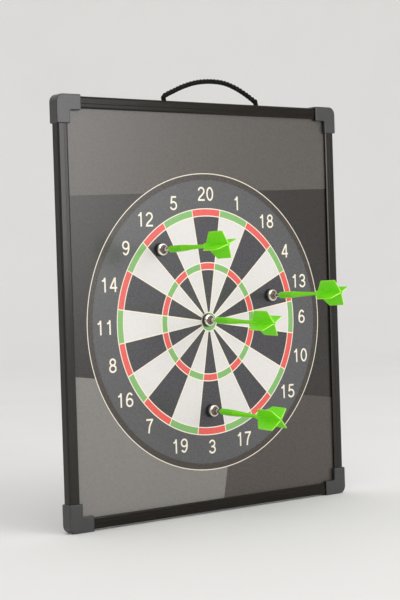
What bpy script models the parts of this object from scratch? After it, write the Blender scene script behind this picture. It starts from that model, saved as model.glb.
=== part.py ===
"""Magnetic dartboard: a printed steel panel in a four-rail frame, with four magnet darts.

Metres, +Z up. The origin is the middle of the wall plane, which the backs of the four
corner caps touch. The board faces -Y, and +X is to the right of someone facing it.
"""

import math

import bmesh
import bpy
import numpy as np
from mathutils import Vector

# ---- driving dimensions --------------------------------------------------------------

BOARD_WIDTH = 0.370         # across the two side rails
BOARD_HEIGHT = 0.430        # across the top and bottom rails
GAP = 0.0003                # clearance between pieces that touch
CUT_PAST = 0.003            # how far a drill reaches to each side of the wall it goes through
CUTTER_SPARE = 0.010        # how far a larger cutter reaches past what it cuts
CUTTER_OVERLAP = 0.0005     # how far two cutters of one hollow reach into each other
WELD = 0.000005             # points closer than this are one point

# rail extrusion: a hollow chamber on the outside and a slot for the panel inside it
RAIL_FACE = 0.012
RAIL_DEPTH = 0.0104
RAIL_WALL = 0.0013          # front skin and back lip
CHAMBER_WALL = 0.0015       # walls around the chamber
RAIL_ROUND = 0.0022         # rounding of the outer front edge
RAIL_BACK_ROUND = 0.0009
CHAMBER_END = 0.0056        # inner side of the chamber, from the rail's outer edge
WEB_END = 0.0067            # slot side of the wall between chamber and slot
STEP_START = 0.0088         # where the face steps down to the inner lip
STEP_DEPTH = 0.0007
STEP_RAMP = 0.0003          # width of the small slope down to the step
LIP_CHAMFER = 0.0005
HOOK_START = 0.0108         # the lip's turned edge, which presses on the print
HOOK_DEPTH = 0.0029
BACK_LIP = 0.0105           # width of the rail's back wall
RAIL_END = 0.0125           # a rail's square-cut end, from the board's outer corner

# corner caps
CAP_PROUD = 0.0016          # how far a cap stands out from the rails
CAP_ARM = 0.0290            # length of an arm, from the cap's outer edge
CAP_WIDTH = 0.0158          # width of an arm
CAP_ROUND = 0.0080          # radius of the outer corner
CAP_INNER_ROUND = 0.0016
CAP_RETURN = 0.0012         # thickness of the edge that is turned towards the panel
CAP_EDGE = 0.0005           # bevel on the cap's edges

# corner keys and their screws
KEY_LENGTH = 0.036
KEY_ROUND = 0.0012
SCREW_REACH = 0.0215        # from the board's outer edge, along an arm
SCREW_RADIUS = 0.0011
SCREW_HEAD_RADIUS = 0.0023
SCREW_LENGTH = 0.0070
SCREW_POINT = 0.0012        # length of the tapered point
SCREW_POINT_RADIUS = 0.0004
SCREW_HEAD_EDGE = 0.0001    # straight edge round the countersunk head
BORE_SPARE = 0.001          # depth of the key's bore past the screw's point
SCREW_SINK = 0.0001         # the head lies this far under the cap's back

# panel layers, from front to back
FILM_THICKNESS = 0.0002
STEEL_THICKNESS = 0.0004
CORE_THICKNESS = 0.0035
BACK_THICKNESS = 0.0006
PANEL_INSET = 0.0072        # panel edge, from the board's outer edge
PANEL_ROUND = 0.0030

# rope handle
ROPE_RADIUS = 0.00275
ROPE_HOLE_RADIUS = 0.0031
ROPE_LEFT = -0.0495         # X of the two holes in the top rail
ROPE_RIGHT = 0.0755
ROPE_POINTS = 26
CURVE_STEPS = 24            # samples between two route points, before they are spaced evenly
ROPE_END_STEPS = 3          # rings on each rounded rope end
ROPE_ROUTE = (              # X and Z above the rail's top, from the left end to the right
    (ROPE_LEFT, 0.0034),
    (-0.0470, 0.0061),
    (-0.0375, 0.0104),
    (-0.0220, 0.0166),
    (-0.0050, 0.0212),
    (0.0140, 0.0231),
    (0.0320, 0.0221),
    (0.0480, 0.0176),
    (0.0620, 0.0113),
    (0.0725, 0.0054),
    (ROPE_RIGHT, 0.0034),
)
STOP_LENGTH = 0.0090        # crimped stop on each rope end, inside the rail

# bull's-eye centre on the face, and each dart's place from it
BULL_Z = -0.0154
DARTS = {                   # X, Z from the bull, tilt right, tilt up, roll of the vanes (degrees)
    "dart_1": (-0.0617, 0.0770, 0.0, 1.5, 21.0),
    "dart_2": (-0.0028, 0.0018, -1.7, -1.6, 28.0),
    "dart_3": (0.0862, 0.0250, 0.9, 1.3, 24.0),
    "dart_4": (-0.0005, -0.0938, 0.1, -2.3, 47.5),
}

# dart, measured from the face along the dart's own axis
MAGNET_RADIUS = 0.0068
MAGNET_END = 0.0031
MAGNET_EDGE = 0.0004
CUP_RADIUS = 0.0062
CUP_START = MAGNET_END + GAP
CUP_WALL_END = 0.0052       # end of the cup's straight side
CUP_SHOULDER = 0.0006       # sloping edge between the straight side and the flare
NECK_END = 0.0096           # where the flare has narrowed to the stem
STEM_RADIUS = 0.0020
STEM_END = 0.0153
PIN_RADIUS = 0.0014
PIN_END = 0.0215
BARREL_START = STEM_END + GAP
BARREL_BORE_RADIUS = 0.0019
BARREL_BORE_END = 0.0222
BARREL_PROFILE = (          # distance from the face, radius
    (0.0815, 0.0000),
    (0.0815, 0.0016),
    (0.0720, 0.0018),
    (0.0600, 0.0021),
    (0.0500, 0.0027),
    (0.0430, 0.0033),
    (0.0380, 0.0037),
    (0.0270, 0.0040),
    (0.0165, 0.0037),
    (BARREL_START, 0.0032),
)
TILT_PIVOT = 0.0180         # the barrel tilts on its pin about this point
COLLAR_START = 0.0735
COLLAR_END = 0.0800
COLLAR_RADIUS = 0.0029
COLLAR_EDGE = 0.0004
COLLAR_TAPER = 0.0040       # length over which the collar narrows to the spine
SOCKET_RADIUS = 0.0022
SOCKET_END = 0.0825
SPINE_RADIUS = 0.0013
SPINE_END = 0.1110
SPINE_TIP = 0.0006
SPINE_TIP_RADIUS = 0.0008
VANE_HALF_WIDTH = 0.0144
VANE_THICKNESS = 0.0009
VANE_OUTLINE = (            # half outline of a pair of vanes: radius, distance from the face
    (0.0010, 0.0745),
    (0.0030, 0.0770),
    (0.0134, 0.0857),
    (VANE_HALF_WIDTH, 0.0872),
    (VANE_HALF_WIDTH, 0.1066),
    (0.0134, 0.1079),
    (0.0010, 0.1106),
)

ROUND_STEPS = 16            # sides of a turned piece
MAGNET_STEPS = 20
SMALL_STEPS = 12            # sides of screws and their holes
FLARE_STEPS = 6             # points along the cup's flare
ARC_STEPS = 4               # straight pieces in a quarter of a small rounding

# ---- places worked out from them -----------------------------------------------------

CAP_DEPTH = RAIL_DEPTH + 2 * CAP_PROUD
RAIL_FRONT_Y = -(CAP_PROUD + RAIL_DEPTH)
RAIL_MID_Y = RAIL_FRONT_Y + RAIL_DEPTH / 2
FACE_Y = RAIL_FRONT_Y + HOOK_DEPTH + GAP
CAP_PLATE = CAP_PROUD - GAP
CHAMBER_MID = (CHAMBER_WALL + CHAMBER_END) / 2
RAIL_TOP = BOARD_HEIGHT / 2

QUARTER = math.pi / 2
CORNERS = {"bottom_left": 0, "top_left": 1, "top_right": 2, "bottom_right": 3}


# ---- helpers -------------------------------------------------------------------------

def make_collection(name):
    """A new collection in the scene."""
    collection = bpy.data.collections.new(name)
    bpy.context.scene.collection.children.link(collection)
    return collection


def make_material(name, color, roughness, metallic=0.0):
    """A Principled material."""
    material = bpy.data.materials.new(name)
    material.use_nodes = True
    shader = material.node_tree.nodes["Principled BSDF"]
    shader.inputs["Base Color"].default_value = (*color, 1.0)
    shader.inputs["Roughness"].default_value = roughness
    shader.inputs["Metallic"].default_value = metallic
    material.diffuse_color = (*color, 1.0)
    return material


def place(obj, location=(0, 0, 0), rotation=(0, 0, 0), parent=None):
    """Set an object's place under its parent."""
    obj.location = location
    obj.rotation_euler = rotation
    obj.parent = parent
    return obj


def make_empty(name, location, rotation=(0, 0, 0), parent=None):
    """An empty that carries other objects."""
    empty = bpy.data.objects.new(name, None)
    empty.empty_display_size = 0.02
    PART.objects.link(empty)
    return place(empty, location, rotation, parent)


def make_part(name, mesh, material):
    """A sub-part of the object, with its own material."""
    mesh.name = name
    mesh.materials.clear()
    mesh.materials.append(material)
    obj = bpy.data.objects.new(name, mesh)
    PART.objects.link(obj)
    return obj


def make_cutter(name, mesh):
    """A shape that cuts or joins another and isn't itself part of the object."""
    obj = bpy.data.objects.new(name, mesh)
    CUTTERS.objects.link(obj)
    obj.hide_render = True
    obj.display_type = "WIRE"
    return obj


def add_boolean(obj, other, operation="DIFFERENCE"):
    """Cut obj with other, or join other to it."""
    modifier = obj.modifiers.new(other.name, "BOOLEAN")
    modifier.operation = operation
    modifier.solver = "EXACT"
    modifier.object = other


def arc(center, radius, start, end, steps=ARC_STEPS):
    """Points on an arc, both ends included. Angles are in quarter turns."""
    angles = np.linspace(start * QUARTER, end * QUARTER, steps + 1)
    return [(center[0] + radius * math.cos(a), center[1] + radius * math.sin(a)) for a in angles]


def curve_to_mesh(curve):
    """The mesh of a curve's own geometry, with its caps welded on."""
    guide = bpy.data.objects.new("guide", curve)
    bpy.context.scene.collection.objects.link(guide)
    depsgraph = bpy.context.evaluated_depsgraph_get()
    mesh = bpy.data.meshes.new_from_object(guide.evaluated_get(depsgraph))
    bpy.data.objects.remove(guide)
    solid = bmesh.new()
    solid.from_mesh(mesh)
    bmesh.ops.remove_doubles(solid, verts=solid.verts, dist=WELD)
    bmesh.ops.recalc_face_normals(solid, faces=solid.faces)
    solid.to_mesh(mesh)
    solid.free()
    return mesh


def extruded(loops, low, high):
    """A flat outline with any holes, in XY, as a solid from Z low to Z high."""
    curve = bpy.data.curves.new("outline", "CURVE")
    curve.dimensions = "2D"
    curve.fill_mode = "BOTH"
    curve.extrude = (high - low) / 2
    for loop in loops:
        spline = curve.splines.new("POLY")
        spline.points.add(len(loop) - 1)
        for point, (x, y) in zip(spline.points, loop):
            point.co = (x, y, 0, 1)
        spline.use_cyclic_u = True
    mesh = curve_to_mesh(curve)
    for vertex in mesh.vertices:
        vertex.co.z += (low + high) / 2
    return mesh


def cylinder(radius, low, high, end_radius=None, steps=ROUND_STEPS):
    """A closed cylinder or cone on Z from low to high."""
    solid = bmesh.new()
    top = radius if end_radius is None else end_radius
    bmesh.ops.create_cone(
        solid, cap_ends=True, segments=steps, radius1=radius, radius2=top, depth=high - low
    )
    bmesh.ops.translate(solid, verts=solid.verts, vec=(0, 0, (low + high) / 2))
    mesh = bpy.data.meshes.new("cylinder")
    solid.to_mesh(mesh)
    solid.free()
    return mesh


def block(low, high):
    """A box between two corners."""
    solid = bmesh.new()
    bmesh.ops.create_cube(solid, size=1.0)
    size = Vector(high) - Vector(low)
    middle = (Vector(high) + Vector(low)) / 2
    bmesh.ops.scale(solid, verts=solid.verts, vec=size)
    bmesh.ops.translate(solid, verts=solid.verts, vec=middle)
    mesh = bpy.data.meshes.new("block")
    solid.to_mesh(mesh)
    solid.free()
    return mesh


def joined(meshes):
    """Several separate solids as one mesh."""
    solid = bmesh.new()
    for mesh in meshes:
        solid.from_mesh(mesh)
    mesh = bpy.data.meshes.new("joined")
    solid.to_mesh(mesh)
    solid.free()
    return mesh


def moved(mesh, offset):
    """The same mesh, moved."""
    for vertex in mesh.vertices:
        vertex.co += Vector(offset)
    return mesh


def turned(name, profile, material, steps=ROUND_STEPS):
    """A turned piece on Z: its profile is radius and height, from the top down."""
    mesh = bpy.data.meshes.new(name)
    points = [(radius, 0, height) for radius, height in profile]
    mesh.from_pydata(points, [(i, i + 1) for i in range(len(points) - 1)], [])
    obj = make_part(name, mesh, material)
    screw = obj.modifiers.new("turn", "SCREW")
    screw.steps = steps
    screw.render_steps = steps
    screw.use_merge_vertices = True
    screw.merge_threshold = WELD
    screw.use_smooth_shade = False
    return obj


def smooth_curve(points, count):
    """Evenly spaced points on a Catmull-Rom curve through the given points."""
    known = np.array(points, float)
    known = np.vstack([2 * known[0] - known[1], known, 2 * known[-1] - known[-2]])
    t = np.linspace(0, 1, CURVE_STEPS, endpoint=False)[:, None]
    pieces = []
    for a, b, c, d in zip(known[:-3], known[1:-2], known[2:-1], known[3:]):
        pieces.append(
            0.5 * (2 * b + (c - a) * t + (2 * a - 5 * b + 4 * c - d) * t**2
                   + (3 * b - a - 3 * c + d) * t**3)
        )
    fine = np.vstack([*pieces, known[-2:-1]])
    length = np.concatenate([[0], np.cumsum(np.linalg.norm(np.diff(fine, axis=0), axis=1))])
    even = np.linspace(0, length[-1], count)
    return np.column_stack([np.interp(even, length, fine[:, k]) for k in range(fine.shape[1])])


# ---- panel ---------------------------------------------------------------------------

def rounded_rectangle(half_width, half_height, radius):
    """A rectangle about the origin with rounded corners."""
    x = half_width - radius
    y = half_height - radius
    return (
        arc((x, y), radius, 0, 1)
        + arc((-x, y), radius, 1, 2)
        + arc((-x, -y), radius, 2, 3)
        + arc((x, -y), radius, 3, 4)
    )


def build_panel(materials):
    """The four layers that the rails hold: print, steel, core and back."""
    outline = rounded_rectangle(
        BOARD_WIDTH / 2 - PANEL_INSET, BOARD_HEIGHT / 2 - PANEL_INSET, PANEL_ROUND
    )
    front = -FACE_Y
    layers = (
        ("print_film", FILM_THICKNESS, "film"),
        ("steel_sheet", STEEL_THICKNESS, "steel"),
        ("core_board", CORE_THICKNESS, "core"),
        ("back_sheet", BACK_THICKNESS, "back"),
    )
    for name, thickness, finish in layers:
        mesh = extruded([outline], front - thickness, front)
        layer = make_part(name, mesh, materials[finish])
        place(layer, rotation=(QUARTER, 0, 0))
        front -= thickness + GAP


# ---- rails ---------------------------------------------------------------------------

def rail_section():
    """The rail's outline and its chamber. X runs inwards from the outer edge, Y back."""
    lip = RAIL_WALL + STEP_DEPTH
    outline = (
        arc((RAIL_ROUND, RAIL_ROUND), RAIL_ROUND, 2, 3)
        + [
            (STEP_START - STEP_RAMP, 0.0),
            (STEP_START, STEP_DEPTH),
            (RAIL_FACE - LIP_CHAMFER, STEP_DEPTH),
            (RAIL_FACE, STEP_DEPTH + LIP_CHAMFER),
            (RAIL_FACE, HOOK_DEPTH),
            (HOOK_START, HOOK_DEPTH),
            (HOOK_START, lip),
            (WEB_END, lip),
            (WEB_END, RAIL_DEPTH - RAIL_WALL),
            (BACK_LIP, RAIL_DEPTH - RAIL_WALL),
            (BACK_LIP, RAIL_DEPTH),
        ]
        + arc((RAIL_BACK_ROUND, RAIL_DEPTH - RAIL_BACK_ROUND), RAIL_BACK_ROUND, 1, 2, 3)
    )
    chamber = [
        (CHAMBER_WALL, CHAMBER_WALL),
        (CHAMBER_END, CHAMBER_WALL),
        (CHAMBER_END, RAIL_DEPTH - CHAMBER_WALL),
        (CHAMBER_WALL, RAIL_DEPTH - CHAMBER_WALL),
    ]
    return [outline, chamber]


def screw_hole_cutters(name, half_board, rail):
    """Cuts the screw holes through a rail's back wall, near its ends."""
    hole = SCREW_RADIUS + GAP
    for side in (-1, 1):
        shaft = cylinder(hole, -CUT_PAST, CUT_PAST, steps=SMALL_STEPS)
        drill = make_cutter(f"{name}_screw_drill_{side}", shaft)
        along = side * (half_board - SCREW_REACH)
        place(drill, (CHAMBER_MID, RAIL_DEPTH, along), (QUARTER, 0, 0), rail)
        add_boolean(rail, drill)


def build_rails(material):
    """Four lengths of one extrusion, cut square."""
    section = rail_section()
    half_width = BOARD_WIDTH / 2
    half_height = BOARD_HEIGHT / 2
    rails = (
        ("left_rail", (-half_width, 0), 0, half_height),
        ("top_rail", (0, half_height), 1, half_width),
        ("right_rail", (half_width, 0), 2, half_height),
        ("bottom_rail", (0, -half_height), 3, half_width),
    )
    for name, (x, z), quarters, half_board in rails:
        half_length = half_board - RAIL_END
        rail = make_part(name, extruded(section, -half_length, half_length), material)
        place(rail, (x, RAIL_FRONT_Y, z), (0, quarters * QUARTER, 0))
        screw_hole_cutters(name, half_board, rail)
        if name == "top_rail":
            for x_hole in (ROPE_LEFT, ROPE_RIGHT):
                shaft = cylinder(ROPE_HOLE_RADIUS, -CUT_PAST, CUT_PAST)
                drill = make_cutter(f"rope_drill_{x_hole}", shaft)
                place(drill, (0, RAIL_DEPTH / 2, x_hole), (0, QUARTER, 0), rail)
                add_boolean(rail, drill)


# ---- corners -------------------------------------------------------------------------

def corner_outline(outer, inner, end, outer_round, inner_round):
    """An L with its corner at the origin side: arms run along +X and +Y to end."""
    turn = outer + outer_round
    inside = inner + inner_round
    outer_arc = arc((turn, turn), outer_round, 2, 3) if outer_round else [(outer, outer)]
    return (
        outer_arc
        + [(end, outer), (end, inner)]
        + arc((inside, inside), inner_round, 3, 2)
        + [(inner, end), (outer, end)]
    )


def build_corner(name, quarters, materials):
    """A sleeve-like cap over two rail ends, the key that joins them, and two screws."""
    x = math.copysign(BOARD_WIDTH / 2, 1 if quarters in (2, 3) else -1)
    z = math.copysign(BOARD_HEIGHT / 2, 1 if quarters in (1, 2) else -1)
    frame = make_empty(f"{name}_corner", (x, 0, z), (0, quarters * QUARTER, 0))
    upright = (QUARTER, 0, 0)

    outer = -CAP_PROUD
    inner = CAP_WIDTH - CAP_PROUD
    end = CAP_ARM - CAP_PROUD
    shell = extruded(
        [corner_outline(outer, inner, end, CAP_ROUND, CAP_INNER_ROUND)], 0, CAP_DEPTH
    )
    cap = make_part(f"{name}_cap", shell, materials["cap"])
    place(cap, rotation=upright, parent=frame)
    bevel = cap.modifiers.new("edges", "BEVEL")
    bevel.width = CAP_EDGE
    bevel.segments = 1
    bevel.limit_method = "ANGLE"
    bevel.angle_limit = math.radians(60)

    beyond = CAP_ARM + CUTTER_SPARE
    inner_wall = inner - CAP_RETURN
    sleeve_round = CAP_INNER_ROUND - CAP_RETURN
    sleeve = extruded(
        [corner_outline(-GAP, inner_wall, beyond, CAP_ROUND - CAP_PLATE, sleeve_round)],
        CAP_PLATE, CAP_DEPTH - CAP_PLATE,
    )
    slot_wall = inner_wall - CUTTER_OVERLAP
    slot = extruded(
        [corner_outline(slot_wall, inner + CUTTER_SPARE, beyond, 0, sleeve_round)],
        CAP_PROUD + RAIL_WALL, -FACE_Y + GAP,
    )
    drills = []
    for along in ((SCREW_REACH, CHAMBER_MID), (CHAMBER_MID, SCREW_REACH)):
        sink = cylinder(
            SCREW_HEAD_RADIUS + 2 * GAP, -GAP, CAP_PLATE + GAP, SCREW_RADIUS + GAP, SMALL_STEPS
        )
        drills.append(moved(sink, (*along, 0)))
    for cutter_name, mesh in (("sleeve", sleeve), ("slot", slot), ("sinks", joined(drills))):
        cutter = place(make_cutter(f"{name}_{cutter_name}", mesh), rotation=upright, parent=frame)
        add_boolean(cap, cutter)

    low = CAP_PROUD + CHAMBER_WALL + GAP
    high = CAP_PROUD + RAIL_DEPTH - CHAMBER_WALL - GAP
    near = CHAMBER_WALL + GAP
    far = CHAMBER_END - GAP
    shape = corner_outline(near, far, KEY_LENGTH, KEY_ROUND, KEY_ROUND)
    key = make_part(f"{name}_key", extruded([shape], low, high), materials["key"])
    place(key, rotation=upright, parent=frame)
    bores = []
    for along in ((SCREW_REACH, CHAMBER_MID), (CHAMBER_MID, SCREW_REACH)):
        bore = cylinder(
            SCREW_RADIUS + GAP, low - GAP, SCREW_LENGTH + BORE_SPARE, steps=SMALL_STEPS
        )
        bores.append(moved(bore, (*along, 0)))
    cutter = place(make_cutter(f"{name}_bores", joined(bores)), rotation=upright, parent=frame)
    add_boolean(key, cutter)

    arms = (("a", SCREW_REACH, CHAMBER_MID), ("b", CHAMBER_MID, SCREW_REACH))
    for arm, along, across in arms:
        screw = turned(f"{name}_screw_{arm}", screw_profile(), materials["screw"], SMALL_STEPS)
        place(screw, (along, 0, across), upright, frame)


def screw_profile():
    """A small countersunk screw, point up and head down: radius and height."""
    return (
        (0, SCREW_LENGTH),
        (SCREW_POINT_RADIUS, SCREW_LENGTH),
        (SCREW_RADIUS, SCREW_LENGTH - SCREW_POINT),
        (SCREW_RADIUS, CAP_PLATE),
        (SCREW_HEAD_RADIUS, SCREW_SINK + SCREW_HEAD_EDGE),
        (SCREW_HEAD_RADIUS, SCREW_SINK),
        (0, SCREW_SINK),
    )


# ---- rope handle ---------------------------------------------------------------------

def round_end_rings():
    """Distance past the end and radius of each ring on a round end, as shares, from the tip in."""
    nearly_tip = 0.98 * QUARTER
    angles = np.linspace(nearly_tip, 0, ROPE_END_STEPS, endpoint=False)
    return [(math.sin(a), math.cos(a)) for a in angles]


def build_rope(materials):
    """The standing arch that swings, and the two ends that the rail holds."""
    hinge_z = RAIL_TOP + ROPE_ROUTE[0][1]
    handle = make_empty("handle_axis", (0, RAIL_MID_Y, hinge_z))
    route = np.array(ROPE_ROUTE) - (0, ROPE_ROUTE[0][1])
    path = smooth_curve(route, ROPE_POINTS)
    start = (path[0] - path[1]) / np.linalg.norm(path[0] - path[1])
    finish = (path[-1] - path[-2]) / np.linalg.norm(path[-1] - path[-2])
    before = [(path[0] + start * ROPE_RADIUS * d, share) for d, share in round_end_rings()]
    after = [(path[-1] + finish * ROPE_RADIUS * d, share) for d, share in round_end_rings()]
    points = before + [(point, 1.0) for point in path] + after[::-1]

    curve = bpy.data.curves.new("rope_arch", "CURVE")
    curve.dimensions = "3D"
    curve.bevel_depth = ROPE_RADIUS
    curve.bevel_resolution = 3
    curve.use_fill_caps = True
    spline = curve.splines.new("POLY")
    spline.points.add(len(points) - 1)
    for knot, ((x, z), share) in zip(spline.points, points):
        knot.co = (x, 0, z, 1)
        knot.radius = share
    curve.materials.append(materials["rope"])
    arch = bpy.data.objects.new("rope_arch", curve)
    PART.objects.link(arch)
    place(arch, parent=handle)

    tail_top = hinge_z - ROPE_RADIUS - GAP
    tail_foot = RAIL_TOP - CHAMBER_END + GAP
    stop_half = (CHAMBER_END - CHAMBER_WALL) / 2 - GAP
    stop_depth = RAIL_DEPTH / 2 - CHAMBER_WALL - GAP
    for side, x in (("left", ROPE_LEFT), ("right", ROPE_RIGHT)):
        end = cylinder(ROPE_RADIUS, tail_foot, tail_top)
        tail = make_part(f"rope_tail_{side}", end, materials["rope"])
        place(tail, (x, RAIL_MID_Y, 0))
        size = (STOP_LENGTH / 2, stop_depth, stop_half)
        stop = make_part(f"rope_stop_{side}", block([-s for s in size], size), materials["stop"])
        place(stop, (x, RAIL_MID_Y, RAIL_TOP - CHAMBER_MID))
        shaft = cylinder(ROPE_RADIUS + GAP, -CUT_PAST, CUT_PAST)
        drill = make_cutter(f"stop_drill_{side}", shaft)
        place(drill, parent=stop)
        add_boolean(stop, drill)


# ---- darts ---------------------------------------------------------------------------

def cup_profile():
    """A flared cup, its stem and the pin that holds the barrel: radius and height."""
    flare_width = CUP_RADIUS - CUP_SHOULDER - STEM_RADIUS
    flare_height = NECK_END - CUP_WALL_END - CUP_SHOULDER
    flare = []
    for a in np.linspace(0, QUARTER, FLARE_STEPS):
        radius = STEM_RADIUS + flare_width * (1 - math.cos(a))
        flare.append((radius, NECK_END - flare_height * math.sin(a)))
    return (
        [(0, PIN_END), (PIN_RADIUS, PIN_END), (PIN_RADIUS, STEM_END), (STEM_RADIUS, STEM_END)]
        + flare
        + [(CUP_RADIUS, CUP_WALL_END), (CUP_RADIUS, CUP_START), (0, CUP_START)]
    )


def vane_mesh():
    """Two opposite vanes as one flat plate in XZ, across the dart's axis."""
    right = [(radius, height) for radius, height in VANE_OUTLINE]
    left = [(-radius, height) for radius, height in VANE_OUTLINE[::-1]]
    plate = extruded([right + left], -VANE_THICKNESS / 2, VANE_THICKNESS / 2)
    for vertex in plate.vertices:
        vertex.co = (vertex.co.x, -vertex.co.z, vertex.co.y)
    return plate


def build_flight(name, roll, carrier, material):
    """A collar that pushes onto the barrel's tail, a spine and four vanes."""
    profile = (
        (0, SPINE_END),
        (SPINE_TIP_RADIUS, SPINE_END),
        (SPINE_RADIUS, SPINE_END - SPINE_TIP),
        (SPINE_RADIUS, COLLAR_END + COLLAR_TAPER),
        (COLLAR_RADIUS, COLLAR_END),
        (COLLAR_RADIUS, COLLAR_START + COLLAR_EDGE),
        (COLLAR_RADIUS - COLLAR_EDGE, COLLAR_START),
        (0, COLLAR_START),
    )
    flight = turned(f"{name}_flight", profile, material)
    place(flight, (0, 0, -TILT_PIVOT), (0, 0, math.radians(roll)), carrier)
    for quarter in (0, 1):
        plate = make_cutter(f"{name}_vanes_{quarter}", vane_mesh())
        place(plate, rotation=(0, 0, quarter * QUARTER), parent=flight)
        add_boolean(flight, plate, "UNION")
    socket = make_cutter(
        f"{name}_socket", cylinder(SOCKET_RADIUS, COLLAR_START - CUT_PAST, SOCKET_END)
    )
    place(socket, parent=flight)
    add_boolean(flight, socket)


def build_dart(name, values, materials):
    """Magnet, metal cup, gripped barrel and flight. Local +Z points away from the board."""
    x, z, tilt_right, tilt_up, roll = values
    axis = make_empty(f"{name}_axis", (x, FACE_Y, BULL_Z + z), (QUARTER, 0, 0))

    edge = MAGNET_RADIUS - MAGNET_EDGE
    magnet = turned(
        f"{name}_magnet",
        (
            (0, MAGNET_END),
            (edge, MAGNET_END),
            (MAGNET_RADIUS, MAGNET_END - MAGNET_EDGE),
            (MAGNET_RADIUS, GAP + MAGNET_EDGE),
            (edge, GAP),
            (0, GAP),
        ),
        materials["magnet"],
        MAGNET_STEPS,
    )
    place(magnet, parent=axis)
    cup = turned(f"{name}_cup", cup_profile(), materials["cup"])
    place(cup, parent=axis)

    tilt = (-math.radians(tilt_up), math.radians(tilt_right), 0)
    carrier = make_empty(f"{name}_tilt", (0, 0, TILT_PIVOT), tilt, axis)
    profile = [(radius, height) for height, radius in BARREL_PROFILE]
    bore = [
        (BARREL_BORE_RADIUS, BARREL_START),
        (BARREL_BORE_RADIUS, BARREL_BORE_END),
        (0, BARREL_BORE_END),
    ]
    barrel = turned(f"{name}_barrel", profile + bore, materials["barrel"])
    place(barrel, (0, 0, -TILT_PIVOT), parent=carrier)
    build_flight(name, roll, carrier, materials["flight"])


# ---- the whole board -----------------------------------------------------------------

def make_materials():
    """One material for each finish."""
    return {
        "film": make_material("print_film", (0.16, 0.155, 0.145), 0.42),
        "steel": make_material("sheet_steel", (0.55, 0.56, 0.57), 0.40, 1.0),
        "core": make_material("fibre_core", (0.36, 0.25, 0.15), 0.85),
        "back": make_material("back_board", (0.05, 0.05, 0.052), 0.70),
        "rail": make_material("black_rail", (0.045, 0.044, 0.042), 0.45),
        "cap": make_material("grey_cap", (0.12, 0.12, 0.12), 0.50),
        "key": make_material("corner_key", (0.06, 0.06, 0.06), 0.60),
        "screw": make_material("screw_steel", (0.60, 0.60, 0.62), 0.35, 1.0),
        "rope": make_material("black_rope", (0.018, 0.018, 0.017), 0.90),
        "stop": make_material("crimped_stop", (0.62, 0.62, 0.64), 0.40, 1.0),
        "magnet": make_material("black_magnet", (0.02, 0.02, 0.02), 0.50),
        "cup": make_material("nickel_cup", (0.78, 0.75, 0.70), 0.15, 1.0),
        "barrel": make_material("green_barrel", (0.12, 0.60, 0.02), 0.35),
        "flight": make_material("green_flight", (0.14, 0.62, 0.02), 0.38),
    }


for old in list(bpy.data.objects):
    bpy.data.objects.remove(old)
PART = make_collection("magnetic_dartboard")
CUTTERS = make_collection("cutters")


def main():
    """Build every sub-part."""
    materials = make_materials()
    build_panel(materials)
    build_rails(materials["rail"])
    for name, quarters in CORNERS.items():
        build_corner(name, quarters, materials)
    build_rope(materials)
    for name, values in DARTS.items():
        build_dart(name, values, materials)
    bpy.context.view_layer.update()


main()
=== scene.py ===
# %% [markdown]
# # Dressing a magnetic dartboard
#
# The object is a printed steel panel held by four dark aluminium rails. Grey moulded caps
# cover the corners, a rope handle stands on the top rail, and four green darts cling to the
# face with magnets. A working model with the right sizes and joints exists already. This
# lesson loads it as a fixed frame and makes the surfaces that are seen: the print, smooth
# rails and caps, a twisted rope, gripped barrels and moulded flights.
#
# Every length is in metres. +X is to the right of someone who faces the board, +Z is up,
# and the face looks along -Y. The wall plane is y = 0.

# %% Load the working frame
import math

import bmesh
import bpy
import numpy as np
from mathutils import Matrix, Vector


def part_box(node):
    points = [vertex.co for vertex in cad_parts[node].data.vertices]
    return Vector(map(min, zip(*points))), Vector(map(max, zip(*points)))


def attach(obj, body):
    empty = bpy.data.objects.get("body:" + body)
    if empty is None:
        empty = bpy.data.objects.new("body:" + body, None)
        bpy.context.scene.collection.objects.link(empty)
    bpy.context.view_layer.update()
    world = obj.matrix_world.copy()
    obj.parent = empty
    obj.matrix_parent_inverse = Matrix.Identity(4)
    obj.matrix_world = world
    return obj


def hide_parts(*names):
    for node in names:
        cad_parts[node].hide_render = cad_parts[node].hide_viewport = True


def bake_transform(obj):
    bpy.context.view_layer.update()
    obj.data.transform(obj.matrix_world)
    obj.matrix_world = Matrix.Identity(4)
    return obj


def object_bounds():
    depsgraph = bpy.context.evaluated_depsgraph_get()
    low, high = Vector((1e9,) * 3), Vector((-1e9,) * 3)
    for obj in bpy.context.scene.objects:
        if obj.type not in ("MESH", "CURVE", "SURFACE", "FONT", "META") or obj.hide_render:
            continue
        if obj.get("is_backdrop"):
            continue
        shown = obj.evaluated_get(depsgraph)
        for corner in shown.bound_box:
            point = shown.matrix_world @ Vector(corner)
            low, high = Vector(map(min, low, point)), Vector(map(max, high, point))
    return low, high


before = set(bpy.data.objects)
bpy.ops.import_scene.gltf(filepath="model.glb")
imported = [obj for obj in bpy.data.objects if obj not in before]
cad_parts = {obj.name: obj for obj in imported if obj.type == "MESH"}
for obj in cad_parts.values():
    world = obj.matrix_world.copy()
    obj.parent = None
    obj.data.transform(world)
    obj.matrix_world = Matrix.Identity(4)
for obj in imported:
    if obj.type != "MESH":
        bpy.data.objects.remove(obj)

MM = 0.001
TURN = 2 * math.pi
QUARTER = TURN / 4
cad_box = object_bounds()
corners = [tuple(round(c, 4) for c in point) for point in cad_box]
print("working model, lowest and highest corner:", *corners)


def linked(name, data):
    """A new object for some data, linked into the scene."""
    made = bpy.data.objects.new(name, data)
    bpy.context.scene.collection.objects.link(made)
    return made


def outward(azimuth, height):
    """The direction (sin a cos e, −cos a cos e, sin e), a to the right and e up, in degrees."""
    a, e = math.radians(azimuth), math.radians(height)
    return Vector((math.sin(a) * math.cos(e), -math.cos(a) * math.cos(e), math.sin(e)))


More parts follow.
